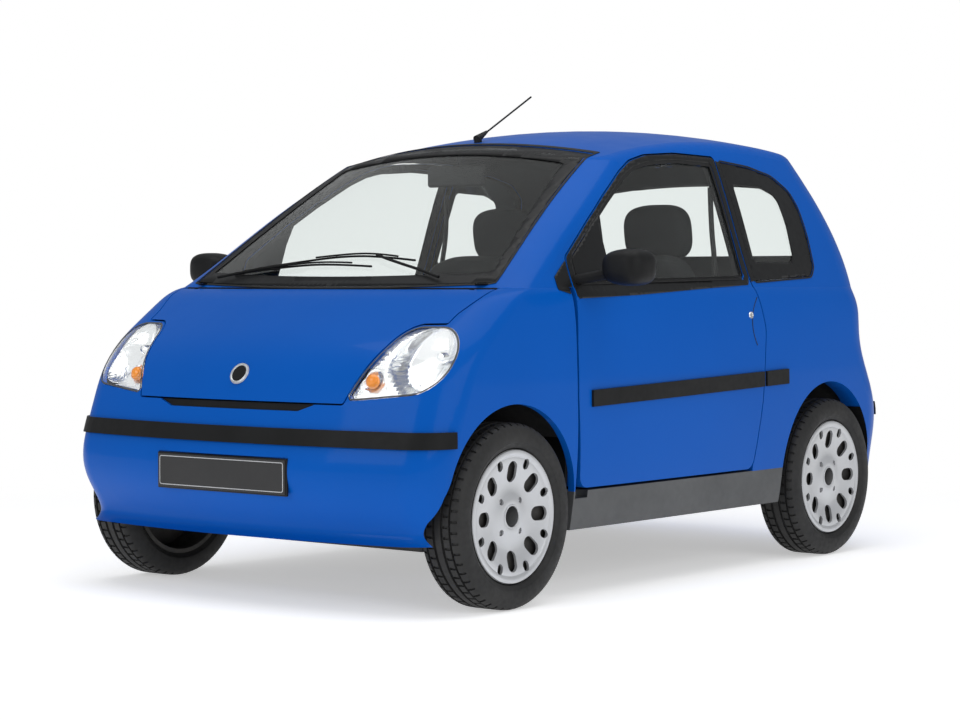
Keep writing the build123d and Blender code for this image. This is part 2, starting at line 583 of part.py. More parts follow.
def structure(body):
    """Wheel housings, floor with bulkhead and rear deck, dashboard, seats, engine and exhaust."""
    inside_front = tub(SKIN + SEAT_GAP)
    inside = tub(DOOR_WALL + SEAT_GAP)
    front = keep(housing(*FRONT_HOUSING, FRONT_HOUSING_Y), inside_front)
    front = cut(front, *body["openings"], body["sill_zone"], box(0, 700, 650, WIDE, 0, 900))
    rear = keep(housing(*REAR_HOUSING, REAR_HOUSING_Y), inside)
    slot = box(REAR_AXLE_X - 50, REAR_AXLE_X + 50, 400, 450, 0, HUB_Z + 60)
    add("wheel_housings", *both(front), *both(cut(rear, slot)))

    front_space = cut(housing_space(*FRONT_HOUSING, FRONT_HOUSING_Y), box(0, 700, 650, WIDE, 0, 900))
    spaces = both(front_space) + both(housing_space(*REAR_HOUSING, REAR_HOUSING_Y))
    floor = box(DECK_FRONT_X, BULKHEAD_X, -WIDE, WIDE, FLOOR_Z, FLOOR_Z + FLOOR_WALL)
    step = box(DECK_FRONT_X - FLOOR_WALL, DECK_FRONT_X, -WIDE, WIDE, FLOOR_Z, DECK_Z)
    deck = box(-LONG, DECK_FRONT_X, -WIDE, WIDE, DECK_Z - FLOOR_WALL, DECK_Z)
    pan = keep(fused([floor, step, deck]), inside)
    bulkhead = keep(box(BULKHEAD_X, BULKHEAD_X + FLOOR_WALL, -WIDE, WIDE, FLOOR_Z, BULKHEAD_TOP), inside_front)
    bulkhead = cut(bulkhead, *body["openings"])
    pan = cut(fused([pan, bulkhead]), *spaces, *steering_room(), *both(box(630, 700, 640, WIDE, 0, 330)))
    add("floor_pan", pan)

    dash_line = [(BULKHEAD_X - 1, 640), (560, 690), (500, 850), (520, 925), (640, 948), (890, 918), (890, 890),
                 (690, 882), (690, 872), (BULKHEAD_X - 1, 872)]
    dash = from_side(rounded(dash_line, [10, 40, 40, 30, 60, 8, 2, 0, 0, 0]), -640, 640)
    lower = keep(dash, tub(DOOR_WALL + 8))
    upper = keep(dash, cab(POST_WALL + 8, ROOF_WALL, ROOF_EDGE - 20))
    dash = fused([lower, upper])
    tilt = math.radians(COLUMN_TILT)
    ahead = lambda d: (WHEEL_X + d * math.cos(tilt), WHEEL_Y, WHEEL_Z - d * math.sin(tilt))
    column = rod(ahead(40), ahead(260), 30)
    add("dashboard", cut(fused([dash, column]), rod(ahead(-20), ahead(90), 12 + RUNNING)))
    ring = Plane(origin=ahead(0), z_dir=Vector(*ahead(1)) - Vector(*ahead(0))) * Torus(WHEEL_RADIUS, 14)
    hub = rod(ahead(-8), ahead(34), 45)
    shaft = rod(ahead(0), ahead(80), 12)
    spokes = []
    plane = Plane(origin=ahead(6), x_dir=(0, 1, 0), z_dir=Vector(*ahead(1)) - Vector(*ahead(0)))
    for angle in (0, 180, 90):
        spokes.append(plane * Rot(0, 0, angle) * Pos(WHEEL_RADIUS / 2, 0, 0) * Box(WHEEL_RADIUS, 30, 12))
    add("steering_wheel", fused([hub, shaft, ring] + spokes))

    add("driver_seat", seat(SEAT_Y))
    add("passenger_seat", seat(-SEAT_Y))
    add("engine_block", box(-1120, -905, -300, 300, 225, DECK_Z - FLOOR_WALL - SEAT_GAP))
    silencer = rod((-1195, -270, 270), (-1195, 270, 270), 62)
    bracket = box(-1190, -1120 - SEAT_GAP, -60, 60, 250, 290)
    tail_pipe = rod((-1195, 180, 240), (-1268, 180, 206), 20)
    add("exhaust", fused([silencer, bracket, tail_pipe]))


def seat(y):
    """Cushion, backrest and headrest of one seat, standing on the floor."""
    half = 235
    cushion = from_side(rounded([(-250, FLOOR_Z + FLOOR_WALL + SEAT_GAP), (180, FLOOR_Z + FLOOR_WALL + SEAT_GAP),
                                 (240, 480), (-250, 450)], [10, 10, 40, 10]), y - half, y + half)
    back = from_side(rounded([(-160, 440), (-310, 440), (-450, 1000), (-340, 1010)], [40, 40, 40, 40]),
                     y - half, y + half)
    post = rod((-392, y, 980), (-392, y, 1060), 40)
    rest = Pos(-392, y, 1116) * Box(110, 250, 186)
    rest = rest.fillet(50, rest.edges().filter_by(Axis.X))
    return fused([cushion, back, post, rest])


BULKHEAD_X = 655.0
BULKHEAD_TOP = 870.0
FLOOR_Z = 226.0
FLOOR_WALL = 14.0
DECK_FRONT_X = -470.0
DECK_Z = 540.0
WHEEL_X, WHEEL_Y, WHEEL_Z = 350.0, 330.0, 800.0
WHEEL_RADIUS = 170.0
COLUMN_TILT = 26.0
SEAT_Y = 330.0
STRIP_PROUD = 8.0


def trim():
    """Rubbing strips, mirrors, wipers and aerial."""
    ring = cut(tub(-STRIP_PROUD), tub(-SEAT_GAP))
    strip = lambda x0, x1: from_side(rounded([(x0, strip_low(x0)), (x1, strip_low(x1)), (x1, strip_low(x1) + 50),
                                              (x0, strip_low(x0) + 50)]), 500, WIDE)
    door_strip = keep(ring, strip(-398, 574))
    add("door_strip_left", door_strip)
    add("door_strip_right", other_side(door_strip))
    quarter_strip = keep(ring, strip(-556, -413))
    front_strip = keep(ring, from_side(rounded([(1205, 480), (1500, 480), (1500, 527), (1205, 527)]), -WIDE, WIDE))
    rear_strip = keep(ring, from_side(rounded([(-1500, 470), (-1240, 470), (-1240, 517), (-1500, 517)]),
                                      -WIDE, WIDE))
    add("bumper_strips", front_strip, rear_strip, *both(quarter_strip))

    outside = cab(-SEAT_GAP, -SEAT_GAP)
    head = Pos(546, 866, 990) * Box(132, 136, 104)
    head = head.fillet(40, head.edges())
    stalk = rod((576, 640, 962), (560, 830, 978), 18)
    mirror = fused([head, cut(stalk, outside)])
    add("mirror_left", mirror)
    add("mirror_right", other_side(mirror))

    screen_film = cut(cab(-6, -6), cab(GLASS_SET - SEAT_GAP, GLASS_SET - SEAT_GAP))
    blades = []
    for line in WIPERS:
        blades.append(keep(screen_film, from_front(make_face(Polyline(*line, close=True).edges()), 300, 1100)))
    add("wipers", *blades)

    mast_foot = cut(rod((ANTENNA_X, 0, 1380), (ANTENNA_X, 0, 1428), 13), cab(-SEAT_GAP, -SEAT_GAP))
    mast = rod((ANTENNA_X, 0, 1420), (-111, 0, 1576), 3)
    add("antenna", fused([mast_foot, mast]))
    glass = Pos(292, 0, 1292) * Box(24, 236, 70)
    glass = glass.fillet(10, glass.edges())
    stem = rod((292, 0, 1300), (262, 0, 1400), 8)
    under_glass = GLASS_SET + GLASS + SEAT_GAP
    add("inner_mirror", keep(fused([glass, stem]), cab(under_glass, under_glass)))
    slat = keep(from_front(grown(grille_face(), -SEAT_GAP), 1300, 1450), box(1300, 1450, -400, 400, 0, GRILLE_TOP - 5))
    add("grille", keep(slat, cut(tub(8), tub(16))))


ANTENNA_X = 180.0
PLATE_FACE_X = 1385.0
GRILLE_HALF = 330.0
GRILLE_LOW = 576.0
GRILLE_TOP = 601.0
WIPERS = [
    # front view (y, z) corners of each wiper
    [(-470, 950), (-466, 962), (60, 1000), (66, 990)],
    [(60, 950), (66, 962), (560, 1010), (566, 1000)],
]


def strip_low(x):
    """Height of a side strip's lower edge, which climbs towards the back."""
    return 573 + (579 - x) / 1127 * 32


def build():
    body = panels()
    print("panels ready")
    wheels()
    running_gear()
    structure(body)
    trim()
    os.makedirs("parts", exist_ok=True)
    for node, found in parts.items():
        shape = found[0] if len(found) == 1 else Compound(children=found)
        export_step(shape, "parts/" + node + ".step")


build()
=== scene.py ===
# %% [markdown]
# # A two-seat microcar
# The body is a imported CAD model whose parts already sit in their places. This lesson dresses it:
# paint, glass, rubber and plastic for the CAD parts, and new pieces for what only shows close up,
# such as tyre tread, lamp reflectors, window rubber, wipers and padded seats.

# %% Load the frame
import math

import bmesh
import bpy
from mathutils import Matrix, Vector
from mathutils.bvhtree import BVHTree


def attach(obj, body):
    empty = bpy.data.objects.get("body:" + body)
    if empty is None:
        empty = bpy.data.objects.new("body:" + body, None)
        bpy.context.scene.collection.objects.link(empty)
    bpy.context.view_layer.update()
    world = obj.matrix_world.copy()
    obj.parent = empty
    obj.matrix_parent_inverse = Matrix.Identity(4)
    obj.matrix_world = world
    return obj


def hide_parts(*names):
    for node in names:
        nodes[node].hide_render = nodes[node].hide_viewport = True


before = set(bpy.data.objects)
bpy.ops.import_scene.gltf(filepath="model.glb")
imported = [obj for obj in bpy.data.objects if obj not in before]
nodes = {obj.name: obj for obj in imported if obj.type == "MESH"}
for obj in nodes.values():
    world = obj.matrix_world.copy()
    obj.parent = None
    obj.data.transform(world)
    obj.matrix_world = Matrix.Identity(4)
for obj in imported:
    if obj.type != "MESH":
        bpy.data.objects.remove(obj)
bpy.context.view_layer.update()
scene = bpy.context.scene
scene.view_settings.view_transform = "Standard"
print("CAD parts:", len(nodes))

# %% [markdown]
# ## Camera, floor and light
# A car in a studio stands on a pale floor under very large soft lamps. Big area lamps give long soft
# highlights on the paint; the pale surroundings come from the world and the floor's own colour.

# %% Camera
camera = bpy.data.objects.new("Camera", bpy.data.cameras.new("Camera"))
scene.collection.objects.link(camera)
camera.location = (6.4008, 4.9136, 0.9477)
turn, dip = math.radians(38.256), math.radians(1.876)
sight = Vector((-math.cos(turn) * math.cos(dip), -math.sin(turn) * math.cos(dip), -math.sin(dip)))
camera.rotation_euler = sight.to_track_quat("-Z", "Y").to_euler()
SENSOR, FRAME_WIDTH, FOCAL_PIXELS = 36.0, 960, 2388.9
camera.data.sensor_width = SENSOR
camera.data.lens = FOCAL_PIXELS * SENSOR / FRAME_WIDTH
camera.data.clip_end = 200
scene.camera = camera
print("lens", round(camera.data.lens, 2), "mm")


# %% Helpers for node materials
def node_tree(name):
    """A new material with its tree, its Principled shader and its output."""
    material = bpy.data.materials.new(name)
    material.use_nodes = True
    tree = material.node_tree
    return material, tree, tree.nodes["Principled BSDF"], tree.nodes["Material Output"]


def noise(tree, scale, detail=3.0, stretch=(1, 1, 1)):
    """A noise pattern in object coordinates, so that it stays on the piece when the piece moves."""
    where = tree.nodes.new("ShaderNodeTexCoord")
    mapping = tree.nodes.new("ShaderNodeMapping")
    mapping.inputs["Scale"].default_value = stretch
    texture = tree.nodes.new("ShaderNodeTexNoise")
    texture.inputs["Scale"].default_value = scale
    texture.inputs["Detail"].default_value = detail
    tree.links.new(where.outputs["Object"], mapping.inputs["Vector"])
    tree.links.new(mapping.outputs["Vector"], texture.inputs["Vector"])
    return texture.outputs["Fac"]


def spread(tree, source, low, high):
    """Turns a 0 to 1 pattern into values from low to high."""
    box = tree.nodes.new("ShaderNodeMapRange")
    box.inputs["From Min"].default_value = 0.3
    box.inputs["From Max"].default_value = 0.7
    box.inputs["To Min"].default_value = low
    box.inputs["To Max"].default_value = high
    tree.links.new(source, box.inputs["Value"])
    return box.outputs["Result"]


def two_tone(tree, source, dark, light):
    """Mixes two close colours by a pattern."""
    mix = tree.nodes.new("ShaderNodeMix")
    mix.data_type = "RGBA"
    mix.inputs[6].default_value = (*dark, 1)
    mix.inputs[7].default_value = (*light, 1)
    tree.links.new(spread(tree, source, 0, 1), mix.inputs[0])
    return mix.outputs[2]


def finish(name, dark, light, rough, patch=6.0, grain=400.0, bump=0.05, metal=0.0, coat=0.0, level=0.5, sheen=0.0,
           depth=0.0004):
    """A surface with slow colour patches, uneven roughness and a fine grain."""
    material, tree, shader, output = node_tree(name)
    tree.links.new(two_tone(tree, noise(tree, patch), dark, light), shader.inputs["Base Color"])
    tree.links.new(spread(tree, noise(tree, patch * 7), *rough), shader.inputs["Roughness"])
    shader.inputs["Metallic"].default_value = metal
    shader.inputs["Coat Weight"].default_value = coat
    shader.inputs["Coat Roughness"].default_value = 0.06
    shader.inputs["Specular IOR Level"].default_value = level
    shader.inputs["Sheen Weight"].default_value = sheen
    if bump:
        relief = tree.nodes.new("ShaderNodeBump")
        relief.inputs["Strength"].default_value = bump
        relief.inputs["Distance"].default_value = depth
        tree.links.new(noise(tree, grain, 2.0), relief.inputs["Height"])
        tree.links.new(relief.outputs["Normal"], shader.inputs["Normal"])
    return material


# %% [markdown]
# ## Finishes
# One material per real finish: solid blue paint under clear coat, two moulded plastics (grained and
# smooth), rubber, wheel paint, chrome, bare steel and iron, woven seat cloth, clear and tinted glass.

# %% Paint, plastics, rubber and metals
paint = finish("solid_blue_paint", (0.0012, 0.088, 0.430), (0.0016, 0.094, 0.455), (0.30, 0.36), patch=1.5,
               grain=900, bump=0.02, coat=0.09, level=0.04)
grey_plastic = finish("grained_grey_plastic", (0.070, 0.073, 0.076), (0.092, 0.095, 0.098), (0.50, 0.62),
                      grain=700, bump=0.25, level=0.35)
black_plastic = finish("grained_black_plastic", (0.0080, 0.0082, 0.0086), (0.0120, 0.0124, 0.0128), (0.42, 0.54),
                       grain=800, bump=0.25, level=0.14)
gloss_black = finish("smooth_black_plastic", (0.0065, 0.0068, 0.0072), (0.0100, 0.0104, 0.0110), (0.36, 0.46),
                     grain=900, bump=0.04, coat=0.03, level=0.22)
rubber = finish("seal_rubber", (0.0080, 0.0082, 0.0085), (0.0120, 0.0122, 0.0125), (0.50, 0.62), grain=600, bump=0.1,
                level=0.3)
tyre_rubber = finish("tyre_rubber", (0.0135, 0.0135, 0.0138), (0.0220, 0.0218, 0.0215), (0.55, 0.72), patch=9,
                     grain=500, bump=0.3, level=0.35)
wheel_paint = finish("silver_wheel_paint", (0.50, 0.51, 0.525), (0.57, 0.58, 0.595), (0.32, 0.40), grain=1500,
                     bump=0.03, metal=0.5, coat=0.2)
chrome = finish("bright_chrome", (0.86, 0.87, 0.88), (0.92, 0.93, 0.94), (0.04, 0.08), grain=300, bump=0.02, metal=1.0)
reflector_chrome = finish("lamp_reflector", (0.80, 0.81, 0.82), (0.88, 0.89, 0.90), (0.10, 0.16), grain=60, bump=0.15,
                          metal=0.9)
steel = finish("brushed_steel", (0.30, 0.30, 0.31), (0.42, 0.42, 0.43), (0.30, 0.45), grain=250, bump=0.15, metal=1.0)
iron = finish("cast_iron", (0.030, 0.029, 0.028), (0.060, 0.056, 0.052), (0.55, 0.75), patch=14, grain=260, bump=0.5,
              level=0.4)
seat_cloth = finish("fabric", (0.0085, 0.0088, 0.0095), (0.0150, 0.0155, 0.0165), (0.80, 0.92), patch=20,
                    grain=1400, bump=0.6, level=0.08, sheen=0.02)
lining_cloth = finish("dark_lining", (0.0070, 0.0072, 0.0076), (0.0100, 0.0103, 0.0108), (0.75, 0.88), patch=8,
                      grain=900, bump=0.35, level=0.08)
red_lens = finish("red_lamp_plastic", (0.36, 0.006, 0.008), (0.46, 0.010, 0.010), (0.10, 0.16), grain=200, bump=0.1,
                  coat=0.5)
amber = finish("amber_lamp_plastic", (0.85, 0.24, 0.02), (0.95, 0.34, 0.04), (0.12, 0.2), grain=160, bump=0.3,
               coat=0.5)
plate_black = finish("blank_plate", (0.012, 0.012, 0.013), (0.017, 0.017, 0.018), (0.35, 0.45), grain=500, bump=0.05)
print("finishes so far:", len(bpy.data.materials))


# %% Glass
def clear_glass(name, tint, bend):
    """Glass that lets lamp light through, so that the cabin behind it isn't black."""
    material, tree, shader, output = node_tree(name)
    shader.inputs["Base Color"].default_value = (*tint, 1)
    shader.inputs["Transmission Weight"].default_value = 1.0
    shader.inputs["IOR"].default_value = bend
    shader.inputs["Roughness"].default_value = 0.0
    path = tree.nodes.new("ShaderNodeLightPath")
    open_air = tree.nodes.new("ShaderNodeBsdfTransparent")
    open_air.inputs["Color"].default_value = (*tint, 1)
    mix = tree.nodes.new("ShaderNodeMixShader")
    tree.links.new(path.outputs["Is Shadow Ray"], mix.inputs[0])
    tree.links.new(shader.outputs["BSDF"], mix.inputs[1])
    tree.links.new(open_air.outputs["BSDF"], mix.inputs[2])
    tree.links.new(mix.outputs["Shader"], output.inputs["Surface"])
    return material


window_glass = clear_glass("window_glass", (0.90, 0.93, 0.92), 1.2)
lamp_glass = clear_glass("lamp_glass", (0.97, 0.98, 0.98), 1.35)


# %% Give every CAD part its finish
def dress(material, *names):
    for name in names:
        mesh = nodes[name].data
        mesh.materials.clear()
        mesh.materials.append(material)


dress(paint, "upper_frame", "rear_quarters", "front_wings", "front_bumper", "rear_bumper", "bonnet", "tailgate",
      "door_left", "door_right")
dress(grey_plastic, "sills")
dress(black_plastic, "bumper_strips", "scuttle", "dashboard", "wheel_housings", "grille", "antenna", "wipers",
      "inner_mirror", "steering_wheel", "door_strip_left", "door_strip_right")
dress(gloss_black, "mirror_left", "mirror_right")
dress(window_glass, "windscreen", "quarter_glass", "door_glass_left", "door_glass_right", "rear_window")
dress(lamp_glass, "headlamp_lenses")
dress(chrome, "headlamp_bowls")
dress(red_lens, "tail_lamps")
dress(seat_cloth, "driver_seat", "passenger_seat")
dress(iron, "engine_block", "front_suspension", "rear_axle", "knuckle_left", "knuckle_right", "door_hinges")
dress(steel, "exhaust")
dress(lining_cloth, "floor_pan")
CORNERS = [
    # wheel, place along the car in metres, side (1 is the car's left)
    ("front_left", 0.950, 1), ("front_right", 0.950, -1), ("rear_left", -0.860, 1), ("rear_right", -0.860, -1)]
AXLE_HEIGHT, WHEEL_OUT = 0.271, 0.675  # metres from the ground and from the car's middle
for corner, place, side in CORNERS:
    dress(tyre_rubber, "tyre_" + corner)
    dress(wheel_paint, "rim_" + corner)
print("undressed parts:", [n for n, o in nodes.items() if not o.data.materials])

# %% Floor and world
floor_mesh = bpy.data.meshes.new("floor")
shape = bmesh.new()
bmesh.ops.create_grid(shape, x_segments=1, y_segments=1, size=40)
shape.to_mesh(floor_mesh)
shape.free()
floor = bpy.data.objects.new("floor", floor_mesh)
scene.collection.objects.link(floor)
floor_finish, tree, shader, output = node_tree("pale_floor")
shader.inputs["Base Color"].default_value = (0.93, 0.93, 0.935, 1)
shader.inputs["Roughness"].default_value = 0.9
shader.inputs["Specular IOR Level"].default_value = 0.1
shader.inputs["Emission Color"].default_value = (1, 1, 1, 1)
shader.inputs["Emission Strength"].default_value = 0.45
where = tree.nodes.new("ShaderNodeTexCoord")
away = tree.nodes.new("ShaderNodeVectorMath")
away.operation = "LENGTH"
fade = tree.nodes.new("ShaderNodeMapRange")
fade.interpolation_type = "SMOOTHSTEP"
fade.inputs["From Min"].default_value = 1.9
fade.inputs["From Max"].default_value = 3.6
bright = tree.nodes.new("ShaderNodeEmission")
bright.inputs["Strength"].default_value = 1.0
blend_far = tree.nodes.new("ShaderNodeMixShader")
tree.links.new(where.outputs["Object"], away.inputs[0])
tree.links.new(away.outputs["Value"], fade.inputs["Value"])
tree.links.new(fade.outputs["Result"], blend_far.inputs[0])
tree.links.new(shader.outputs["BSDF"], blend_far.inputs[1])
tree.links.new(bright.outputs["Emission"], blend_far.inputs[2])
tree.links.new(blend_far.outputs["Shader"], output.inputs["Surface"])
floor_mesh.materials.append(floor_finish)

world = bpy.data.worlds.new("studio")
scene.world = world
world.use_nodes = True
tree = world.node_tree
around = tree.nodes["Background"]
around.inputs["Color"].default_value = (0.90, 0.92, 0.95, 1)
around.inputs["Strength"].default_value = 0.38
white = tree.nodes.new("ShaderNodeBackground")
white.inputs["Color"].default_value = (1, 1, 1, 1)
path = tree.nodes.new("ShaderNodeLightPath")
seen = tree.nodes.new("ShaderNodeMath")
seen.operation = "ADD"
seen.use_clamp = True
mix = tree.nodes.new("ShaderNodeMixShader")
tree.links.new(path.outputs["Is Camera Ray"], seen.inputs[0])
tree.links.new(path.outputs["Is Transmission Ray"], seen.inputs[1])
tree.links.new(seen.outputs[0], mix.inputs[0])
tree.links.new(around.outputs[0], mix.inputs[1])
tree.links.new(white.outputs[0], mix.inputs[2])
tree.links.new(mix.outputs[0], tree.nodes["World Output"].inputs["Surface"])


# %% Lamps
def area_lamp(name, place, aim, wide, high, watts):
    lamp = bpy.data.lights.new(name, "AREA")
    lamp.shape = "RECTANGLE"
    lamp.size, lamp.size_y, lamp.energy = wide, high, watts
    holder = bpy.data.objects.new(name, lamp)
    scene.collection.objects.link(holder)
    holder.location = place
    holder.rotation_euler = (Vector(aim) - Vector(place)).to_track_quat("-Z", "Y").to_euler()


area_lamp("overhead", (0.5, 0.5, 4.6), (0, 0, 0.6), 5.0, 4.0, 105)
area_lamp("side", (1.5, 5.5, 2.6), (0, 0, 0.7), 5.0, 2.4, 70)
area_lamp("front", (6.0, -0.5, 2.8), (0.6, 0, 0.6), 3.5, 2.4, 62)
print("lamps:", len(bpy.data.lights))


# %% [markdown]
# ## Tools for new pieces
# Every new piece is a bmesh that becomes an object at the origin and rides on a body of the car.
# Trim that follows a panel is laid on it: each point is shot at the CAD surface along one of five looks.

# %% Piece maker
def mm(*values):
    return Vector([v / 1000 for v in values])


def piece_of(mesh, name, material, body, sharp=35):
    mesh.materials.clear()
    mesh.materials.append(material)
    mesh.shade_smooth()
    mesh.set_sharp_from_angle(angle=math.radians(sharp))
    piece = bpy.data.objects.new(name, mesh)
    scene.collection.objects.link(piece)
    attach(piece, body)
    return piece


def make(shape, name, material, body, sharp=35):
    """The bmesh becomes a finished piece."""
    bmesh.ops.remove_doubles(shape, verts=shape.verts, dist=1e-6)
    mesh = bpy.data.meshes.new(name)
    shape.to_mesh(mesh)
    shape.free()
    return piece_of(mesh, name, material, body, sharp)


def modify(piece, kind, **settings):
    modifier = piece.modifiers.new(kind.lower(), kind)
    for key, value in settings.items():
        setattr(modifier, key, value)
    return modifier


def rounded_off(piece, width, segments=2):
    return modify(piece, "BEVEL", width=width / 1000, segments=segments, limit_method="ANGLE",
                  angle_limit=math.radians(40))


# %% Laying points on CAD surfaces
LOOKS = {
    # look: (where a point (u, v) starts, the way it flies), u and v in millimetres
    "left": (lambda u, v: mm(u, 1500, v), Vector((0, -1, 0))),
    "right": (lambda u, v: mm(u, -1500, v), Vector((0, 1, 0))),
    "front": (lambda u, v: mm(2500, u, v), Vector((-1, 0, 0))),
    "rear": (lambda u, v: mm(-2500, u, v), Vector((1, 0, 0))),
    "top": (lambda u, v: mm(u, v, 2500), Vector((0, 0, -1)))}


SIDE_REACH, LONG_REACH = 1.45, 2.45  # metres that a point may fly, so that none lands on the car's far half


def skin(*names):
    """One search tree over the surfaces of some CAD parts."""
    points, faces = [], []
    for name in names:
        mesh, base = nodes[name].data, len(points)
        points += [v.co.copy() for v in mesh.vertices]
        faces += [[base + i for i in p.vertices] for p in mesh.polygons]
    return BVHTree.FromPolygons(points, faces)


def land(surface, look, u, v, lift=0.0):
    """Where a point lands on the surface, lifted off it by some millimetres, and the way the surface faces."""
    start, way = LOOKS[look][0](u, v), LOOKS[look][1]
    place, normal = surface.ray_cast(start, way, SIDE_REACH if look in ("left", "right") else LONG_REACH)[:2]
    if place is None:
        # just past an edge: walk along the sight line to the depth of the nearest point of the surface
        place, normal = start + way * 0.85, -way
        for step in range(24):
            near = surface.find_nearest(place)[0]
            place = Vector([n if way[i] else s for i, (n, s) in enumerate(zip(near, start))])
    if normal.dot(way) > 0:
        normal = -normal
    return place + normal * lift / 1000, normal


# %% Outlines
def rounded(corners, radii, step=12, most=0.48):
    """A closed outline whose corners are arcs, as a list of points."""
    points = []
    count = len(corners)
    for i, (corner, radius) in enumerate(zip(corners, radii)):
        p = Vector(corner)
        a, b = (Vector(corners[i - 1]) - p), (Vector(corners[(i + 1) % count]) - p)
        half = a.angle(b) / 2
        if radius < 1 or half > 1.56:
            points.append(p)
            continue
        reach = min(radius / math.tan(half), most * a.length, most * b.length)
        radius = reach * math.tan(half)
        start, end = p + a.normalized() * reach, p + b.normalized() * reach
        centre = p + (a.normalized() + b.normalized()).normalized() * radius / math.sin(half)
        s, e = start - centre, end - centre
        sweep = s.angle(e)
        steps = max(2, int(math.degrees(sweep) / step))
        sign = 1 if s.x * e.y - s.y * e.x > 0 else -1
        for k in range(steps + 1):
            t = sign * sweep * k / steps
            points.append(centre + Vector((s.x * math.cos(t) - s.y * math.sin(t),
                                           s.x * math.sin(t) + s.y * math.cos(t))))
    return points


def even(points, count):
    """The same closed outline as count evenly spaced points."""
    ring = [Vector(p) for p in points] + [Vector(points[0])]
    lengths = [(b - a).length for a, b in zip(ring, ring[1:])]
    total, found, at, walked = sum(lengths), [], 0, 0.0
    for k in range(count):
        goal = total * k / count
        while walked + lengths[at] < goal:
            walked += lengths[at]
            at += 1
        found.append(ring[at].lerp(ring[at + 1], (goal - walked) / max(lengths[at], 1e-9)))
    return found


def shrunk(points, amount):
    """An outline moved inwards, or outwards for a negative amount."""
    area = sum(a.x * b.y - a.y * b.x for a, b in zip(points, points[1:] + points[:1]))
    sign = 1 if area > 0 else -1
    moved = []
    for a, p, b in zip(points[-1:] + points[:-1], points, points[1:] + points[:1]):
        along = (b - a).normalized()
        moved.append(p + Vector((-along.y, along.x)) * amount * sign)
    return moved


# %% Bands, patches and tubes that lie on a surface
def settle(shape, surface, look, lift):
    """Drop flat points onto the surface; the flat shape holds u and v in its x and y, in millimetres."""
    for vert in shape.verts:
        vert.co = land(surface, look, vert.co.x, vert.co.y, lift)[0]
    shape.normal_update()
    way = LOOKS[look][1]
    facing = sum(f.normal.dot(way) * f.calc_area() for f in shape.faces)
    if facing > 0:
        bmesh.ops.reverse_faces(shape, faces=shape.faces)


def band(name, surface, look, outer, inner, lift, thick, material, body, rows=2, edge=0.8):
    """A flat ring between two outlines of equal count, laid on the surface and given a thickness."""
    shape = bmesh.new()
    rings = []
    for line in (outer, inner):
        verts = [shape.verts.new((p.x, p.y, 0)) for p in line]
        rings.append([shape.edges.new(pair) for pair in zip(verts, verts[1:] + verts[:1])])
    bmesh.ops.bridge_loops(shape, edges=rings[0] + rings[1])
    rim = set(rings[0] + rings[1])
    if rows:
        bmesh.ops.subdivide_edges(shape, edges=[e for e in shape.edges if e not in rim], cuts=rows)
    settle(shape, surface, look, lift)
    piece = make(shape, name, material, body)
    modify(piece, "SOLIDIFY", thickness=thick / 1000, offset=1)
    if edge:
        rounded_off(piece, edge)
    return piece


def sheet(outline, grid, hole=None):
    """A flat filled outline, perhaps with a hole, cut into small faces that can follow a curved surface."""
    shape = bmesh.new()
    for line in [outline] + ([hole] if hole else []):
        verts = [shape.verts.new((p.x, p.y, 0)) for p in line]
        for pair in zip(verts, verts[1:] + verts[:1]):
            shape.edges.new(pair)
    bmesh.ops.triangle_fill(shape, use_beauty=True, use_dissolve=False, edges=shape.edges[:])
    for axis in (0, 1):
        low, high = min(p[axis] for p in outline), max(p[axis] for p in outline)
        cut = low + grid / 2
        while cut < high - 1:
            where, way = Vector((0, 0, 0)), Vector((0, 0, 0))
            where[axis], way[axis] = cut, 1
            bmesh.ops.bisect_plane(shape, geom=shape.verts[:] + shape.edges[:] + shape.faces[:], plane_co=where,
                                   plane_no=way)
            cut += grid
    bmesh.ops.triangulate(shape, faces=shape.faces)
    return shape


def patch(name, surface, look, outline, lift, thick, material, body, slot, grid=30, edge=0.0, hole=None):
    """A filled outline laid on the surface and given a thickness."""
    shape = sheet(outline, grid, hole)
    settle(shape, surface, look, lift)
    piece = make(shape, name, material, body)
    modify(piece, "SOLIDIFY", thickness=thick / 1000, offset=1)
    if edge:
        rounded_off(piece, edge)
    return piece


def tube_mesh(points, radius, closed=False, smooth=True):
    """The mesh of a round bar along points in metres."""
    curve = bpy.data.curves.new("bar", "CURVE")
    curve.dimensions = "3D"
    curve.bevel_depth = radius / 1000
    curve.bevel_resolution = 3
    curve.resolution_u = 6
    curve.use_fill_caps = not closed
    spline = curve.splines.new("NURBS" if smooth else "POLY")
    spline.points.add(len(points) - 1)
    for place, point in zip(points, spline.points):
        point.co = (*place, 1)
    spline.use_cyclic_u = closed
    if smooth:
        spline.order_u = 3
        spline.use_endpoint_u = not closed
    holder = bpy.data.objects.new("bar", curve)
    mesh = bpy.data.meshes.new_from_object(holder)
    bpy.data.objects.remove(holder)
    bpy.data.curves.remove(curve)
    return mesh


def tube(name, points, radius, material, body, closed=False, smooth=True):
    mesh = tube_mesh(points, radius, closed, smooth)
    mesh.name = name
    return piece_of(mesh, name, material, body, 60)


def bars(name, runs, material, body):
    """Several round bars, each a radius and its points in metres, as one piece."""
    shape = bmesh.new()
    for radius, points in runs:
        mesh = tube_mesh(points, radius)
        shape.from_mesh(mesh)
        bpy.data.meshes.remove(mesh)
    return make(shape, name, material, body, 60)


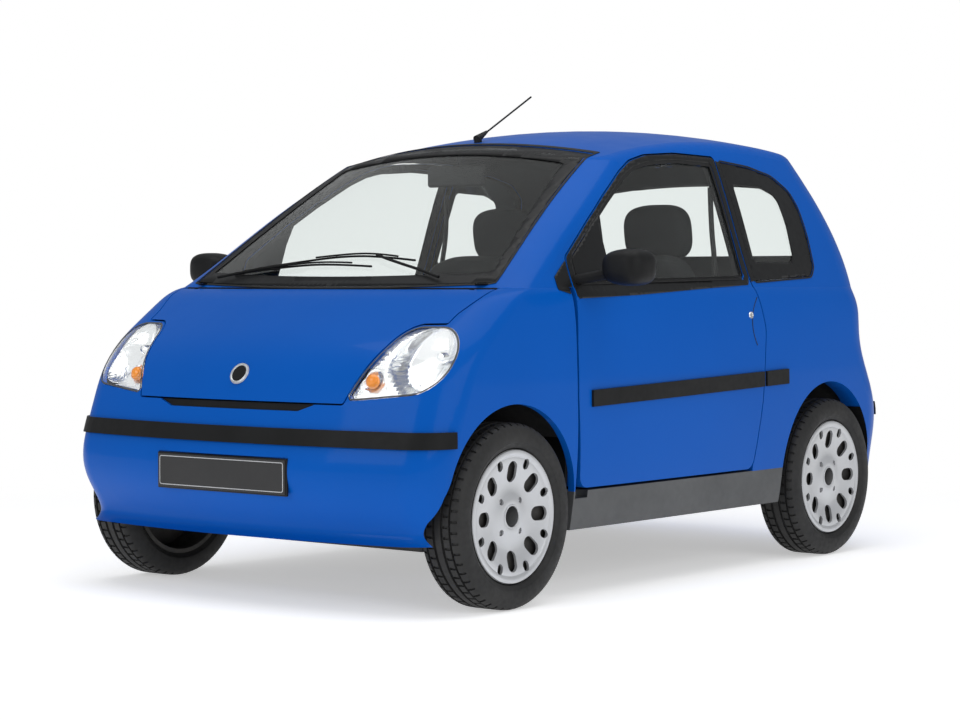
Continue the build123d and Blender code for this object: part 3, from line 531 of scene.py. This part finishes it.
def spun(profile, steps):
    """A closed (radius, outward) profile in millimetres turned about the y axis."""
    shape = bmesh.new()
    verts = [shape.verts.new((r / 1000, y / 1000, 0)) for r, y in profile]
    edges = [shape.edges.new(pair) for pair in zip(verts, verts[1:] + verts[:1])]
    bmesh.ops.spin(shape, geom=verts + edges, cent=(0, 0, 0), axis=(0, 1, 0), angle=2 * math.pi, steps=steps,
                   use_merge=True, use_duplicate=False)
    bmesh.ops.remove_doubles(shape, verts=shape.verts, dist=1e-6)
    bmesh.ops.recalc_face_normals(shape, faces=shape.faces)
    return shape


# %% [markdown]
# ## Tyres
# A tyre is moulded in one piece: bulging sidewalls, a flat tread with four grooves round it and short
# slots across the shoulders. A profile spun round the axle gives all but the slots, which are faces
# pushed in at regular steps.

# %% Tyres
half_profile = [(198, 64), (206, 70), (213, 74), (214, 75.5), (222, 77), (236, 76.5), (248, 74), (257, 70), (263, 66),
                (267.5, 60), (270, 53), (270.6, 48), (264.5, 47), (264.5, 41), (270.8, 40), (271, 30), (271, 20),
                (264.5, 19), (264.5, 11), (271, 10)]
tyre_profile = half_profile + [(r, -y) for r, y in reversed(half_profile)] + [(198, -60), (196.5, 0), (198, 60)]


TREAD_STEPS = 216  # faces round the tyre


def tyre_shape():
    shape = spun(tyre_profile, TREAD_STEPS)
    slots = []
    for face in shape.faces:
        middle = face.calc_center_median()
        radius = math.hypot(middle.x, middle.z)
        sector = int((math.atan2(middle.z, middle.x) + math.pi) / (2 * math.pi) * TREAD_STEPS + 0.01)
        if sector % 4 == 0 and radius > 0.2645 and (0.0485 < abs(middle.y) < 0.064):
            slots.append(face)
        if sector % 4 == 2 and radius > 0.2702 and 0.021 < abs(middle.y) < 0.040:
            slots.append(face)
    bmesh.ops.inset_region(shape, faces=slots, thickness=0.0006, depth=-0.0045)
    return shape


def at_wheel(shape, place, side):
    """Move a wheel piece made about the y axis to its axle; on the right it is turned round."""
    turned = Matrix.Rotation(math.pi if side < 0 else 0, 4, "Z")
    shape.transform(Matrix.Translation((place, side * WHEEL_OUT, AXLE_HEIGHT)) @ turned)
    return shape


for corner, place, side in CORNERS:
    piece = make(at_wheel(tyre_shape(), place, side), "tyre_tread_" + corner, tyre_rubber, "wheel_" + corner)
    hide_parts("tyre_" + corner)
print("tyre faces:", len(piece.data.polygons))

# %% [markdown]
# ## Wheel covers
# The wheel shows a dished silver cover with eight large oval holes, eight small ones near the edge and
# four bolt recesses round a plain dark cap. The cover is a spun profile; the holes are cut with a boolean.
# A dark steel wheel with a barrel stands behind it.

# %% Cover and cutters
cover_profile = [(31, 56), (38, 57.5), (50, 57), (66, 53), (84, 51), (104, 52.5), (128, 57), (150, 61.5), (166, 63.5),
                 (172, 63), (176, 65.5), (186, 67.5), (192, 66), (194.5, 62), (194.5, 52), (186, 52), (176, 56),
                 (150, 53), (128, 49), (104, 45), (84, 43), (66, 45), (50, 48), (38, 49), (31, 48)]
barrel_profile = [(196.5, 66), (196.5, -66), (190, -66), (186, -60), (186, 40), (178, 43), (60, 24), (22, 22), (22, 16),
                  (62, 17), (182, 34), (183, -62), (186, -69), (199, -69), (199, -63)]


def oval(length, width, out, angle, deep=60):
    """A long round-ended cutter that stands across the wheel cover."""
    shape = bmesh.new()
    bmesh.ops.create_circle(shape, cap_ends=True, segments=24, radius=width / 2000)
    for vert in shape.verts:
        vert.co.x += math.copysign((length - width) / 2000, vert.co.x) if abs(vert.co.x) > 1e-6 else 0
    extruded = bmesh.ops.extrude_face_region(shape, geom=shape.faces[:])["geom"]
    for vert in [g for g in extruded if isinstance(g, bmesh.types.BMVert)]:
        vert.co.z += deep / 1000
    bmesh.ops.recalc_face_normals(shape, faces=shape.faces)
    shape.transform(Matrix.Rotation(-math.pi / 2, 4, "X"))
    shape.transform(Matrix.Rotation(-angle, 4, "Y") @ Matrix.Translation((out / 1000, 0.030, 0)))
    return shape


HOLES = [
    # length along the radius, width, distance from the middle, first angle, how many
    (62, 43, 130, 0.0, 8), (32, 25, 160, 22.5, 8), (18, 18, 63, 45.0, 4)]


def add_to(shape, other):
    mesh = bpy.data.meshes.new("part")
    other.to_mesh(mesh)
    other.free()
    shape.from_mesh(mesh)
    bpy.data.meshes.remove(mesh)


def cut_by(piece, cutter_shape):
    """Cut a shape out of a piece for good."""
    mesh = bpy.data.meshes.new("cutter")
    cutter_shape.to_mesh(mesh)
    cutter_shape.free()
    cutter = bpy.data.objects.new("cutter", mesh)
    scene.collection.objects.link(cutter)
    modifier = piece.modifiers.new("cut", "BOOLEAN")
    modifier.object, modifier.operation, modifier.solver = cutter, "DIFFERENCE", "EXACT"
    bpy.context.view_layer.update()
    result = bpy.data.meshes.new_from_object(piece.evaluated_get(bpy.context.evaluated_depsgraph_get()))
    piece.modifiers.remove(modifier)
    piece.data = result
    bpy.data.objects.remove(cutter)
    return piece


cutters = bmesh.new()
for length, width, out, first, count in HOLES:
    for k in range(count):
        add_to(cutters, oval(length, width, out, math.radians(first + 360 / count * k)))
pattern = bpy.data.objects.new("cover_pattern", bpy.data.meshes.new("cover_pattern"))
scene.collection.objects.link(pattern)
blank = spun(cover_profile, 128)
blank.to_mesh(pattern.data)
blank.free()
cut_by(pattern, cutters)
modify(pattern, "BEVEL", width=0.0022, segments=3, limit_method="ANGLE", angle_limit=math.radians(50))
bpy.context.view_layer.update()
cover_mesh = bpy.data.meshes.new_from_object(pattern.evaluated_get(bpy.context.evaluated_depsgraph_get()))
bpy.data.objects.remove(pattern)
print("cover faces:", len(cover_mesh.polygons))

# %% Covers, caps and wheels in place
cap_profile = [(0.01, 61.5), (14, 61.2), (24, 60), (29.5, 57.5), (31.5, 54), (31.5, 40), (0.01, 40)]
ring_profile = [(29.8, 57.2), (31.2, 59.2), (33.8, 59.4), (35.4, 57.6), (35.4, 54), (29.8, 54)]
nut_profile = [(0.01, 50), (5, 49.6), (8, 47.5), (8, 30), (0.01, 30)]
for corner, place, side in CORNERS:
    body = "wheel_" + corner
    shape = bmesh.new()
    shape.from_mesh(cover_mesh)
    cover = make(at_wheel(shape, place, side), "wheel_cover_" + corner, wheel_paint, body, 30)
    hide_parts("rim_" + corner)
    make(at_wheel(spun(barrel_profile, 72), place, side), "steel_wheel_" + corner, iron, body)
    make(at_wheel(spun(cap_profile, 40), place, side), "wheel_cap_" + corner, gloss_black, body)
    make(at_wheel(spun(ring_profile, 48), place, side), "cap_ring_" + corner, wheel_paint, body)
    nuts = bmesh.new()
    for k in range(4):
        nut = spun(nut_profile, 12)
        nut.transform(Matrix.Rotation(-math.radians(45 + 90 * k), 4, "Y") @ Matrix.Translation((0.063, 0, 0)))
        add_to(nuts, nut)
    make(at_wheel(nuts, place, side), "wheel_bolts_" + corner, steel, body)

# %% [markdown]
# ## Window surrounds
# Round the side windows runs black painted and rubber edging that hides where glass is glued, and
# the same black border lies round the windscreen and the rear window. Each could be painted on, but a
# thin ring laid on the CAD glass has a real edge that catches light.

# %% Side windows
DOOR_FRAME = [(616, 897), (611, 1020), (452, 1133), (330, 1213), (196, 1292), (115, 1331), (20, 1353), (-150, 1365),
              (-373, 1361), (-366, 1120), (-370, 955), (-357, 937), (-55, 924), (292, 907)]
DOOR_FRAME_ROUNDS = [8, 24, 300, 300, 300, 150, 200, 200, 12, 300, 40, 6, 300, 300]
DOOR_WINDOW = [(586, 942), (583, 1021), (443, 1121), (321, 1200), (187, 1279), (108, 1313), (18, 1333), (-150, 1345),
               (-345, 1340), (-342, 958)]
DOOR_WINDOW_ROUNDS = [10, 20, 300, 300, 300, 150, 200, 200, 14, 14]
SAIL = [(402, 956), (400, 1070), (380, 1158), (443, 1117), (580, 1018), (583, 945)]
POST = [(-380.5, 1351), (-374, 1120), (-379, 947), (-400, 950), (-397, 1348)]
FRONT_TRIANGLE = [(629, 907), (697, 923), (693, 962), (632, 1003), (620, 1010), (626, 935)]
QUARTER = [(-398, 1350), (-577, 1336), (-717, 1309), (-800, 1260), (-828, 1205), (-836, 1100), (-824, 1000),
           (-788, 966), (-402, 948)]
QUARTER_ROUNDS = [14, 200, 120, 60, 120, 300, 40, 40, 14]
QUARTER_CLEAR = [(-446, 1272), (-616, 1266), (-704, 1238), (-716, 1143), (-699, 1012), (-440, 1012)]
QUARTER_CLEAR_ROUNDS = [14, 120, 50, 200, 36, 16]
for side in ("left", "right"):
    door = "door_" + side
    glass, frame_skin = skin("door_glass_" + side), skin(door)
    window = even(rounded(DOOR_WINDOW, DOOR_WINDOW_ROUNDS), 180)
    frame_line = even(rounded(DOOR_FRAME, DOOR_FRAME_ROUNDS), 180)
    patch("door_frame_trim_" + side, frame_skin, side, frame_line, 0.5, 1.2, gloss_black, door, "gloss_black",
          grid=16, hole=shrunk(window, -1.2))
    band("door_window_edge_" + side, glass, side, shrunk(window, -0.8), shrunk(window, 10), 0.8, 2.4, rubber, door,
         rows=0)
    patch("door_sail_" + side, glass, side, [Vector(p) for p in SAIL], 0.8, 3.0, gloss_black, door, "gloss_black", 16)
    quarter = skin("quarter_glass")
    line = even(rounded(QUARTER, QUARTER_ROUNDS), 150)
    patch("quarter_window_edge_" + side, quarter, side, shrunk(line, 0.3), 0.6, 1.6, gloss_black, "car",
          "gloss_black", grid=16, hole=even(rounded(QUARTER_CLEAR, QUARTER_CLEAR_ROUNDS), 120))
    body_skin = skin("upper_frame", "front_wings", "rear_quarters")
    band("quarter_seal_" + side, body_skin, side, shrunk(line, -6), shrunk(line, -0.4), 0.5, 1.8, rubber, "car",
         rows=0)
    patch("door_post_trim_" + side, body_skin, side, [Vector(p) for p in POST], 0.5, 1.4, gloss_black, "car",
          "gloss_black", 12)
    patch("front_triangle_" + side, body_skin, side, [Vector(p) for p in FRONT_TRIANGLE], 0.8, 2.0, gloss_black, "car",
          "gloss_black", 10)
    belt = [land(frame_skin, side, x, 941 - (x - 585) * 17 / 930, 2.5)[0] for x in range(580, -345, -60)]
    tube("belt_seal_" + side, belt, 4.5, black_plastic, door)

# %% Windscreen and rear window
screen_skin = skin("windscreen")


def screen_ring(base, top, low, foot, high, peak, count=150):
    """The windscreen's outline from ahead: a bowed foot, straight sides and a bowed top."""
    line = []
    for k in range(31):
        t = -1 + k / 15
        line.append(Vector((base * t, low + (foot - low) * t * t)))
    for k in range(31):
        t = 1 - k / 15
        line.append(Vector((top * t, peak + (high - peak) * t * t)))
    return even(line, count)


patch("windscreen_edge", screen_skin, "front", screen_ring(610, 490.5, 933, 946, 1351, 1392), 0.8, 1.4, gloss_black,
      "car", "gloss_black", grid=20, hole=screen_ring(574, 458, 962, 976, 1320, 1358))
edge_line = screen_ring(612.5, 493, 932, 945, 1353, 1394)
band("windscreen_seal", skin("upper_frame", "scuttle"), "front", shrunk(edge_line, -6), shrunk(edge_line, -0.5), 0.6,
     2.0, rubber, "car", rows=0)
patch("rear_window_edge", skin("rear_window"), "rear", screen_ring(553, 466, 948, 948, 1358, 1391), 0.8, 1.4,
      gloss_black, "rear_window", "gloss_black", grid=20, hole=screen_ring(490, 436, 1045, 1045, 1275, 1305))

# %% [markdown]
# ## Cabin
# What shows through the glass is dark: linings cover the painted inner faces of the body, and two
# stuffed seats with headrests replace the plain CAD ones. Above the belt the same dark copies also
# cover sideways faces, the edges of the window openings and the shut lines, as painted shade in
# those gaps. A pillow is a cube's grid pushed onto a rounded block, with sewn grooves pressed in.

# %% Linings
def lining_and_gap_shade(name, body):
    """A dark copy of a CAD part's faces that look into the cabin; above the belt it also takes sideways faces, the
    window-opening edges and shut lines, as painted shade in the gaps.
    """
    shape = bmesh.new()
    shape.from_mesh(nodes[name].data)
    shape.normal_update()
    middle = Vector((-0.35, 0, 0.80))
    outer = []
    for face in shape.faces:
        place = face.calc_center_median()
        # Above the belt, faces turned sideways (window-opening edges and shut lines) also get the dark copy: painted
        # shade in those gaps.
        least = -0.12 if place.z > 0.935 else 0.3
        if face.normal.dot((middle - place).normalized()) < least or place.x > 0.66 and place.z < 0.93:
            outer.append(face)
    bmesh.ops.delete(shape, geom=outer, context="FACES")
    shape.normal_update()
    for vert in shape.verts:
        vert.co += vert.normal * 0.0015
    return make(shape, name + "_lining", lining_cloth, body)


for name, body in (("upper_frame", "car"), ("rear_quarters", "car"), ("rear_bumper", "car"),
                   ("door_left", "door_left"), ("door_right", "door_right"), ("tailgate", "tailgate")):
    lining_and_gap_shade(name, body)


# %% Seats
def pillow(size, power, grooves=(), deep=0.0, cuts=26):
    """A stuffed block; size in millimetres, grooves as places across it from the middle, 0 to 1."""
    shape = bmesh.new()
    bmesh.ops.create_cube(shape, size=2)
    bmesh.ops.subdivide_edges(shape, edges=shape.edges[:], cuts=cuts, use_grid_fill=True)
    for vert in shape.verts:
        x, y, z = vert.co
        reach = (abs(x) ** power + abs(y) ** power + abs(z) ** power) ** (1 / power)
        sunk = sum(deep * math.exp(-((abs(y) - g) / 0.05) ** 2) for g in grooves)
        vert.co = Vector((x * size[0], y * size[1], z * size[2])) / reach / 2000
        if z > 0.9:
            vert.co.z -= sunk / 1000
    return shape


def placed(shape, place, tilt=0.0):
    """Turn a piece about the sideways axis by some degrees, then move it; the place in millimetres."""
    shape.transform(Matrix.Translation(mm(*place)) @ Matrix.Rotation(math.radians(tilt), 4, "Y"))
    return shape


for name, y in (("driver_seat", 330), ("passenger_seat", -330)):
    seat = placed(pillow((500, 470, 170), 5, (0.62,), 9), (-8, y, 402), -3)
    add_to(seat, placed(pillow((640, 462, 150), 5, (0.62,), 9), (-318, y, 722), -90 + 15.5))
    add_to(seat, placed(pillow((194, 250, 112), 3.2, (), 0), (-392, y, 1112), -90 + 8))
    add_to(seat, placed(pillow((430, 420, 150), 9, (), 0, 8), (-30, y, 316)))
    piece = make(seat, name + "_cover", seat_cloth, "car", 60)
    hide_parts(name)
    bars(name + "_posts", [(6, [mm(-392, y + out, 985), mm(-390, y + out, 1050)]) for out in (-55, 55)], chrome, "car")
    out = 1 if y > 0 else -1
    tube(name + "_belt", [mm(-352, out * 566, 1262), mm(-356, out * 568, 1120), mm(-350, out * 590, 1000),
                          mm(-330, out * 600, 700)], 9, rubber, "car")

# %% [markdown]
# ## Headlamps
# Behind each clear lens sits a bright housing with a deep round dish, a small dish for the amber
# bulb and a bulb in each. The housing is a fine sheet laid below the lens and pushed back.

# %% Headlamps
LAMP = [(415, 607), (501, 820), (699, 820), (699, 635)]
LAMP_ROUNDS = [14, 62, 96, 86]
lens_skin = skin("headlamp_lenses")
lamp_line = even(rounded(LAMP, LAMP_ROUNDS, 6, 0.55), 120)


def dish(x, across, height):
    """Where the housing lies at a place seen from ahead; x is where the plain sheet lies."""
    r = math.hypot(across - 603, height - 725)
    if r < 100:
        deep = min(1140 - 0.66 * (height - 725) - 46 * (1 - (r / 96) ** 2), x - 3)
        t = min(max((100 - r) / 9, 0), 1)
        return x + (deep - x) * t
    r = math.hypot(across - 480, height - 664)
    if r < 40:
        deep = min(1266 - 0.5 * (height - 664) - 20 * (1 - (r / 36) ** 2), x - 2)
        t = min(max((40 - r) / 5, 0), 1)
        return x + (deep - x) * t
    return x


housings = bmesh.new()
for side in (1, -1):
    line = [Vector((side * p.x, p.y)) for p in lamp_line]
    shape = sheet(shrunk(line, 4), 3.5)
    for vert in shape.verts:
        across, height = vert.co.x, vert.co.y
        x = land(lens_skin, "front", across, height)[0].x * 1000 - 16
        vert.co = mm(dish(x, abs(across), height), across, height)
    bmesh.ops.recalc_face_normals(shape, faces=shape.faces)
    if sum(f.normal.x for f in shape.faces) < 0:
        bmesh.ops.reverse_faces(shape, faces=shape.faces)
    for step in range(3):
        bmesh.ops.smooth_vert(shape, verts=[v for v in shape.verts if not v.is_boundary], factor=0.5, use_axis_x=True)
    add_to(housings, shape)
    body_line = shrunk(line, 1.5)
    band("lamp_seal_" + ("left" if side > 0 else "right"), lens_skin, "front", body_line, shrunk(line, 5.5), 0.4, 1.4,
         grey_plastic, "car", rows=0)
    bulb = spun([(0.01, 34), (9, 33), (15, 29), (16.5, 24), (16.5, 8), (0.01, 8)], 32)
    bulb.transform(Matrix.Translation(mm(1092, side * 606, 729)) @ Matrix.Rotation(math.radians(-90), 4, "Z"))
    make(bulb, "lamp_bulb_" + ("left" if side > 0 else "right"), chrome, "car")
    bulb = bmesh.new()
    bmesh.ops.create_uvsphere(bulb, u_segments=28, v_segments=18, radius=0.022)
    bulb.transform(Matrix.Translation(mm(1268, side * 480, 664)) @ Matrix.Diagonal((0.8, 1, 1, 1)))
    make(bulb, "amber_bulb_" + ("left" if side > 0 else "right"), amber, "car")
piece = make(housings, "headlamp_housings", reflector_chrome, "car", 70)
modify(piece, "SOLIDIFY", thickness=0.0015, offset=-1)
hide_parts("headlamp_bowls")

# %% [markdown]
# ## Trim
# A plain round badge, a blank plate, mirrors, wipers, the foot of the aerial, the door locks and a painted shade line
# along each door handle recess.

# %% Badge, plate and locks
def face_out(shape, place, normal):
    """Stand a piece made about the y axis on a surface."""
    turn_to = Vector((0, 1, 0)).rotation_difference(normal).to_matrix().to_4x4()
    shape.transform(Matrix.Translation(place) @ turn_to)
    return shape


place, normal = land(skin("bonnet"), "front", 0, 677, 0.0)
make(face_out(spun([(26, 0), (26, 4), (29, 6), (33, 4.5), (34.5, 0)], 64), place, normal), "badge_ring", wheel_paint,
     "bonnet")
make(face_out(spun([(0.01, 0), (0.01, 4), (16, 3.6), (27, 2.6), (27, 0)], 64), place, normal), "badge_face",
     gloss_black, "bonnet")


def block(name, low, high, material, body, bevel=2.0):
    """A box between two corners in millimetres, with rounded edges."""
    shape = bmesh.new()
    bmesh.ops.create_cube(shape, size=1)
    size = [(b - a) / 1000 for a, b in zip(low, high)]
    middle = [(a + b) / 2 for a, b in zip(low, high)]
    shape.transform(Matrix.Translation(mm(*middle)) @ Matrix.Diagonal((*size, 1)))
    piece = make(shape, name, material, body)
    rounded_off(piece, bevel, 3)
    return piece


block("front_plate_holder", (1385, -262, 333), (1395, 262, 441), gloss_black, "car", 3)
block("front_plate", (1394, -257, 338), (1397.5, 257, 437), plate_black, "car", 1)
plate_line = rounded([(-251, 344), (251, 344), (251, 431), (-251, 431)], [8, 8, 8, 8])
shape = bmesh.new()
loops = []
for line in (plate_line, shrunk(plate_line, 2.6)):
    verts = [shape.verts.new(mm(1397.9, p.x, p.y)) for p in line]
    loops += [shape.edges.new(pair) for pair in zip(verts, verts[1:] + verts[:1])]
bmesh.ops.bridge_loops(shape, edges=loops)
bmesh.ops.recalc_face_normals(shape, faces=shape.faces)
piece = make(shape, "front_plate_border", wheel_paint, "car")
modify(piece, "SOLIDIFY", thickness=0.0006, offset=0)

for side, sign in (("left", 1), ("right", -1)):
    door_skin = skin("door_" + side)
    place, normal = land(door_skin, side, -334, 838, 0.0)
    make(face_out(spun([(0.01, 0), (0.01, 2.4), (7, 2.2), (8, 3), (11, 3), (12, 0)], 32), place, normal),
         "door_lock_" + side, chrome, "door_" + side)
    # The handle recess isn't shaped: a thin dark tube laid along its curved edge is painted shade where the recess edge
    # lies.
    rim = [land(door_skin, side, x, z, 0.3)[0] for x, z in ((-384, 896), (-352, 866), (-338, 815), (-346, 768),
                                                            (-366, 738))]
    tube("handle_recess_shade_line_" + side, rim, 1.6, rubber, "door_" + side)


# %% Mirrors
def mirror_shape(sign):
    shape = bmesh.new()
    bmesh.ops.create_uvsphere(shape, u_segments=48, v_segments=30, radius=1)
    for vert in shape.verts:
        x, y, z = vert.co
        reach = (abs(x) ** 3.2 + abs(y) ** 3.2 + abs(z) ** 3.2) ** (1 / 3.2)
        x, y, z = max(x / reach, -0.9), y / reach, z / reach
        narrow = 1 - 0.14 * max(-y, 0)
        vert.co = mm(546 + 70 * x, 862 + 72 * y, 991 + 55 * z * narrow)
    arm = bmesh.new()
    mesh = tube_mesh([mm(592, 684, 952), mm(580, 725, 958), mm(566, 775, 968), mm(556, 830, 980)], 17)
    arm.from_mesh(mesh)
    bpy.data.meshes.remove(mesh)
    add_to(shape, arm)
    if sign < 0:
        for vert in shape.verts:
            vert.co.y *= -1
        bmesh.ops.reverse_faces(shape, faces=shape.faces)
    return shape


for side, sign in (("left", 1), ("right", -1)):
    piece = make(mirror_shape(sign), "mirror_shell_" + side, black_plastic, "door_" + side, 50)
    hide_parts("mirror_" + side)
    glass = spun([(0.01, 0), (0.01, 1), (40, 1), (41, 0)], 40)
    glass.transform(Matrix.Translation(mm(482.6, sign * 862, 991)) @ Matrix.Diagonal((1, 1.35, 1, 1)) @
                    Matrix.Rotation(math.radians(90), 4, "Z"))
    make(glass, "mirror_glass_" + side, chrome, "door_" + side)

# %% Wipers and aerial
def on_screen(points, lift):
    return [land(screen_skin, "front", y, z, lift)[0] for y, z in points]


WIPER_RUNS = [
    # radius, lift off the glass, (across, height) points
    (3.5, 6, ((-451, 966), (-366, 976), (-222, 991), (-54, 999), (123, 990))),
    (4.5, 15, ((-505, 950), (-420, 964), (-300, 984), (-180, 994))),
    (3.0, 12, ((-330, 982), (-190, 995), (-60, 1001), (40, 997))),
    (3.5, 6, ((-306, 992), (-152, 1010), (-20, 1022), (116, 1022), (270, 1008))),
    (4.5, 15, ((417, 950), (330, 972), (233, 992), (118, 1018))),
    (3.0, 12, ((-130, 1014), (0, 1026), (120, 1025), (200, 1016)))]
runs = [(radius, on_screen(points, lift)) for radius, lift, points in WIPER_RUNS]
piece = bars("wiper_arms", runs, black_plastic, "car")
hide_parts("wipers")
foot = bmesh.new()
bmesh.ops.create_cone(foot, cap_ends=True, segments=24, radius1=0.014, radius2=0.005, depth=0.06)
lean = Vector((0, 0, 1)).rotation_difference(mm(-291, 0, 153).normalized()).to_matrix().to_4x4()
foot.transform(Matrix.Translation(mm(160, 0, 1432)) @ lean)
make(foot, "aerial_foot", rubber, "car")
